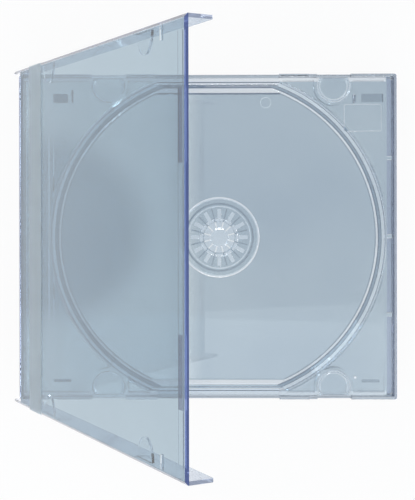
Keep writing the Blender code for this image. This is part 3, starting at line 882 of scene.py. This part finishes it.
@dataclass
class Lid:
    """The lid: flat panel, side walls whose ends are the hinge arms, tabs, lip, catches and pins.

    It is modelled closed, about its hinge pin, and then turned open.
    """

    frame: CaseFrame
    panel_back: float = 6.4
    front: float = 138.2
    inner_z: float = 4.7
    top_z: float = 6.0
    wall: float = 1.15
    wall_low: float = -2.75
    arm_radius: float = 3.4
    arm_foot: float = 2.3
    wall_short: float = 0.05
    tab_radius: float = 4.9
    tab_stretch: float = 1.35
    tab_x: Point2 = (32.4, 110.6)
    tab_z: Point2 = (3.0, 3.8)
    window_half: float = 6.2
    window_low: float = 0.2
    window_depth: float = 0.3
    lip: Point2 = (133.6, 136.3)
    lip_depth: float = 0.3
    lip_inset: float = 3.0
    catch: Point2 = (133.6, 135.8)
    catch_depth: float = 0.7
    catch_y: Point2 = (23.0, 43.0)
    rib: Point2 = (122.6, 123.6)
    rib_depth: float = 0.65
    rib_reach: float = 4.2
    pin_radius: float = 1.5
    pin_ends: Point2 = (60.0, 62.0)
    edge_round: float = 0.3
    long_bevel: float = 1.1

    def arm_outline(self) -> list[Point2]:
        """Give the side wall as x and z about the pin, ending just short of the panel's front face."""
        end = self.front - self.wall_short
        outline = [(end, self.wall_low), (end, self.top_z)]
        outline += arc((0, self.top_z - self.arm_radius), self.arm_radius, 90, 180, 10)
        foot = self.arm_foot
        return outline + arc((foot - self.arm_radius, self.wall_low + foot), foot, 180, 270, 8)

    def build(self) -> bpy.types.Object:
        """Make the lid moulding."""
        half, inner = self.frame.half_width, self.frame.half_width - self.wall
        under, root = self.inner_z, self.inner_z + 0.5
        lid = Block.box((self.panel_back, self.front), about(0, half), (under, self.top_z))
        for side in (-1, 1):
            lid.join(Block.across(self.arm_outline(), on_side(side, inner, half)),
                     Block.rod(0, 0, self.pin_radius, on_side(side, *self.pin_ends)))
        for x in self.tab_x:
            for side in (-1, 1):
                self.add_tab(lid, x, side)
        lid.join(Block.box(self.lip, about(0, inner - self.lip_inset), (under - self.lip_depth, root)))
        for side in (-1, 1):
            lid.join(Block.box(self.catch, on_side(side, *self.catch_y), (under - self.catch_depth, root)),
                     Block.box(self.rib, on_side(side, inner - self.rib_reach, inner + 0.2),
                               (under - self.rib_depth, root)))
        for side in (-1, 1):
            y, top, cut = side * half, self.top_z + 0.001, self.long_bevel
            bevel = [(y - side * cut, top), (y, self.top_z - cut), (y + side, self.top_z - cut),
                     (y + side, top)]
            lid.cut(Block.plate([(-FAR, across, z) for across, z in bevel], (2 * FAR, 0, 0)))
        lid.clean()
        end = self.front - self.wall_short
        lid.round_edges(self.edge_round, lambda a, b: same(a.x, end) and same(b.x, end)
                        and max(a.z, b.z) < self.inner_z - 0.5)
        lid.paint(self.skin)
        return lid.finish("lid_shell", {
            # The panel's grey-blue is partly painted shade; catches and long bevels are painted shade, and
            # the front wall ends painted light
            PANEL: ClearPlastic("polystyrene_lid_panel_painted_shade", "ABBFCC", "A4B8C6"),
            WALL: ClearPlastic("polystyrene_lid_walls", "F6F8FF", "ECF0FC"),
            EDGE: ClearPlastic("polystyrene_lid_edges", "7485C4", "6678B6", clear=0.5),
            LINE: ClearPlastic("polystyrene_lid_catches_painted_shade", "46516F", "3E4966"),
            SHADE: ClearPlastic("polystyrene_lid_bevels_painted_shade", "8792B4", "7F8AAC", clear=0.7),
            GLEAM: ClearPlastic("polystyrene_lid_wall_ends_painted_light", "C6CEE2", "BEC6DB", clear=0.45),
            # Lower than the plastic's own 1.59, to leave the tabs as faint outlines, as in the photo
            TAB: ClearPlastic("polystyrene_lid_tabs", "FFFFFF", "FAFCFF", ior=1.2),
        }, self.opened())

    def opened(self) -> Matrix:
        """Give the turn about the hinge pin that stands the closed lid open."""
        x, z = self.frame.hinge
        place = Matrix.Translation((x * MM, 0, z * MM))
        return place @ Matrix.Rotation(-math.radians(self.frame.lid_angle_deg), 4, "Y")

    def add_tab(self, lid: Block, x: float, side: int) -> None:
        """Join one half-moon booklet tab and sink a shallow window behind it in the side wall."""
        half, inner = self.frame.half_width, self.frame.half_width - self.wall
        tab = Block.puck((0, 0), (self.tab_radius, self.tab_radius), self.tab_z, 56)
        tab.moved(Matrix.Translation((x, side * inner, 0)) @ Matrix.Diagonal((1, self.tab_stretch, 1, 1)))
        tab.cut(Block.box((0, FAR), on_side(side, inner + self.wall / 2, FAR), THROUGH))
        lid.join(tab)
        lid.cut(Block.box(about(x, self.window_half), on_side(side, half - self.window_depth, half + 1),
                          (self.window_low, self.inner_z)))

    def skin(self, middle: Vector, normal: Vector) -> Skin:
        """Tell which skin a face of the closed lid has."""
        inner, under = self.frame.half_width - self.wall, self.inner_z
        lip_z = under - self.lip_depth
        inside = abs(middle.y) < inner - 0.02
        # Catches and the panel's back face get dark painted shade, long bevels dim painted shade, front wall
        # ends painted light
        if inside and same(middle.z, under - self.catch_depth):
            return LINE
        if inside and middle.z < lip_z - 0.01 and middle.x < self.lip[0] - 1:
            return TAB
        if abs(normal.z) > FLAT and abs(middle.y) < inner - 0.35 and middle.z > lip_z - 0.1:
            return PANEL
        if abs(normal.x) > FLAT and same(middle.x, self.panel_back):
            return LINE
        if normal.x > FLAT and middle.x > self.front - 0.1 and middle.z > under - 0.8:
            return EDGE
        if 0.5 < normal.z < FLAT and abs(middle.y) > inner - 0.35:
            return SHADE
        return GLEAM if normal.x > RISING and middle.x > self.lip[1] - 0.1 else WALL


@dataclass
class LabelStrip:
    """A bare strip of clear film across the lid near its hinge, stuck on the panel from edge to edge."""

    lid: Lid
    x_range: Point2 = (16.3, 28.7)
    inset: float = 0.3
    gap: float = 0.01
    thickness: float = 0.06

    def build(self) -> bpy.types.Object:
        """Make the strip."""
        half, under = self.lid.frame.half_width - self.inset, self.lid.top_z + self.gap
        film = Block.box(self.x_range, about(0, half), (under, under + self.thickness))
        # Matt label film, not polystyrene: its grain blurs and dims a little what is seen through it
        finish = ClearPlastic("clear_film_matt", "E0EEF5", "D9E7EF", roughness=0.3, clear=0.9,
                                  cloud_mm=9.0, ripple_mm=3.0, ripple_height_mm=0.003)
        return film.finish("label_strip", {skin: finish for skin in Skin}, self.lid.opened())


@dataclass
class PhotoCamera:
    """The camera that took the photo, as fitted to the case's outline in a frame of 415 x 500 pixels."""

    place_mm: Point3 = (5.36, 11.13, 409.74)
    pitch_deg: float = 0.033
    yaw_deg: float = -0.613
    roll_deg: float = 0.094
    focal_px: float = 1070.9
    centre_px: Point2 = (210.6, 207.7)
    frame_px: Point2 = (415.0, 500.0)
    clip_m: Point2 = (0.01, 20.0)

    def build(self) -> None:
        """Make the camera and make it the scene's own."""
        data = bpy.data.cameras.new("photo_camera")
        longest = max(self.frame_px)
        data.lens = data.sensor_width * self.focal_px / longest
        data.shift_x = (self.frame_px[0] / 2 - self.centre_px[0]) / longest
        data.shift_y = (self.centre_px[1] - self.frame_px[1] / 2) / longest
        data.clip_start, data.clip_end = self.clip_m
        camera = add_object("photo_camera", data)
        turn = (Matrix.Rotation(math.radians(self.roll_deg), 3, "Z")
                @ Matrix.Rotation(math.radians(self.yaw_deg), 3, "Y")
                @ Matrix.Rotation(math.radians(self.pitch_deg), 3, "X"))
        place = Matrix.Translation(Vector(self.place_mm) * MM)
        camera.matrix_world = place @ turn.transposed().to_4x4()
        bpy.context.scene.camera = camera


@dataclass(frozen=True)
class Softbox:
    """One soft area lamp that faces the case, turned in its own plane. Lengths are in metres."""

    name: str
    place: Point3
    size: Point2
    power: float
    turn: float = 0.0


@dataclass
class Studio:
    """White floor and backdrop, a soft grey room above, and softboxes that draw the highlights.

    The floor lies a little under the case, as the lid's outer face is 1.6 mm below the base when open flat.
    It is white paper, and the veil is the share of plain white that pales the case's shadow on it.
    """

    floor_radius: float = 3.0
    floor_gap: float = 2.0 * MM
    shadow_veil: float = 0.93
    paper: Colour = (0.85, 0.85, 0.85, 1.0)
    white: Colour = (1.0, 1.0, 1.0, 1.0)
    ceiling: Colour = (0.40, 0.45, 0.52, 1.0)
    ceiling_rise: Point2 = (0.12, 0.6)
    softboxes: list[Softbox] = field(default_factory=lambda: [
        Softbox("softbox_low_front", (0.0, -1.2, 0.35), (1.4, 0.25), 11.0),
        Softbox("softbox_back_left", (-0.9, 0.8, 0.7), (0.5, 0.5), 4.5),
        Softbox("softbox_right", (1.3, 0.1, 0.22), (1.0, 0.2), 6.0),
        # Two panels, turned a little apart, blur the edge of their reflection on the tray
        Softbox("ceiling_panel", (0.0, -0.425, 1.1), (2.0, 0.6), 1.3, turn=math.radians(3)),
        Softbox("ceiling_panel_back", (0.0, -0.437, 1.1), (2.0, 0.6), 1.3, turn=math.radians(-1.5)),
    ])

    def build(self) -> None:
        """Make the floor, the world and the lamps."""
        self.build_floor()
        self.build_world()
        for softbox in self.softboxes:
            self.build_softbox(softbox)

    def build_floor(self) -> None:
        """Make a white disc under the case that every seeing ray takes as plain white."""
        mesh = bpy.data.meshes.new("floor")
        bm = bmesh.new()
        bmesh.ops.create_circle(bm, cap_ends=True, segments=96, radius=self.floor_radius,
                                matrix=Matrix.Translation((0, 0, -self.floor_gap)))
        bm.to_mesh(mesh)
        bm.free()
        floor = add_object("floor", mesh)
        material = bpy.data.materials.new("white_paper_sweep")
        tree = empty_tree(material)
        path = add_node(tree, "LightPath")
        through = add_node(tree, "Math", {"operation": "MAXIMUM"},
                           links={0: path.outputs["Is Glossy Ray"], 1: path.outputs["Is Transmission Ray"]})
        straight = add_node(tree, "Math", {"operation": "MULTIPLY"}, values={1: self.shadow_veil},
                            links={0: path.outputs["Is Camera Ray"]})
        white = add_node(tree, "Math", {"operation": "MAXIMUM"},
                         links={0: through.outputs[0], 1: straight.outputs[0]})
        paper = add_node(tree, "BsdfDiffuse", values={"Color": self.paper})
        glow = add_node(tree, "Emission", values={"Color": self.white, "Strength": 1.0})
        mix = add_node(tree, "MixShader",
                       links={0: white.outputs[0], 1: paper.outputs["BSDF"], 2: glow.outputs["Emission"]})
        add_node(tree, "OutputMaterial", links={"Surface": mix.outputs["Shader"]})
        mesh.materials.append(material)

    def build_world(self) -> None:
        """Make the room: white where the camera looks past the case, grey above it for the plastic."""
        world = bpy.data.worlds.new("studio")
        tree = empty_tree(world)
        path = add_node(tree, "LightPath")
        direction = add_node(tree, "TexCoord").outputs["Generated"]
        height = add_node(tree, "SeparateXYZ", links={0: direction}).outputs["Z"]
        rise = add_node(tree, "MapRange", {"interpolation_type": "SMOOTHSTEP"},
                        values={"From Min": self.ceiling_rise[0], "From Max": self.ceiling_rise[1]},
                        links={"Value": height})
        wall_to_ceiling = add_node(tree, "Mix", {"data_type": "RGBA"},
                                   values={6: self.white, 7: self.ceiling},
                                   links={0: rise.outputs["Result"]})
        room = add_node(tree, "Background", values={"Strength": 1.0},
                        links={"Color": wall_to_ceiling.outputs[2]})
        white = add_node(tree, "Background", values={"Color": self.white, "Strength": 1.0})
        mix = add_node(tree, "MixShader",
                       links={0: path.outputs["Is Camera Ray"], 1: room.outputs["Background"],
                              2: white.outputs["Background"]})
        add_node(tree, "OutputWorld", links={"Surface": mix.outputs["Shader"]})
        bpy.context.scene.world = world

    def build_softbox(self, softbox: Softbox) -> None:
        """Make one area lamp that faces the case."""
        data = bpy.data.lights.new(softbox.name, "AREA")
        data.shape = "RECTANGLE"
        data.size, data.size_y = softbox.size
        data.energy = softbox.power
        lamp = add_object(softbox.name, data)
        lamp.location = softbox.place
        facing = Vector(softbox.place).to_track_quat("Z", "Y")
        lamp.rotation_euler = (facing @ Quaternion((0, 0, 1), softbox.turn)).to_euler()


def main() -> None:
    """Dress the frame: camera, studio, and the three clear mouldings."""
    logging.basicConfig(level=logging.INFO, format="%(name)s: %(message)s")
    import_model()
    scene = bpy.context.scene
    scene.view_settings.view_transform = "Standard"
    # Light runs the whole length of a wall inside it, and comes out at the long edges
    scene.cycles.max_bounces = 64
    scene.cycles.transmission_bounces = 64
    scene.cycles.glossy_bounces = 16
    PhotoCamera().build()
    Studio().build()
    case = CaseFrame()
    lid = Lid(case)
    pieces = (("base", "base", BaseShell(case).build()), ("tray", "base", DiscTray(case).build()),
              ("lid", "lid", lid.build()))
    for node, body, piece in pieces:
        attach(piece, body)
        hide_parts(node)
        LOG.info("made %s with %d faces", piece.name, len(piece.data.polygons))
    strip = LabelStrip(lid).build()
    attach(strip, "lid")
    LOG.info("made %s", strip.name)


if __name__ == "__main__":
    main()
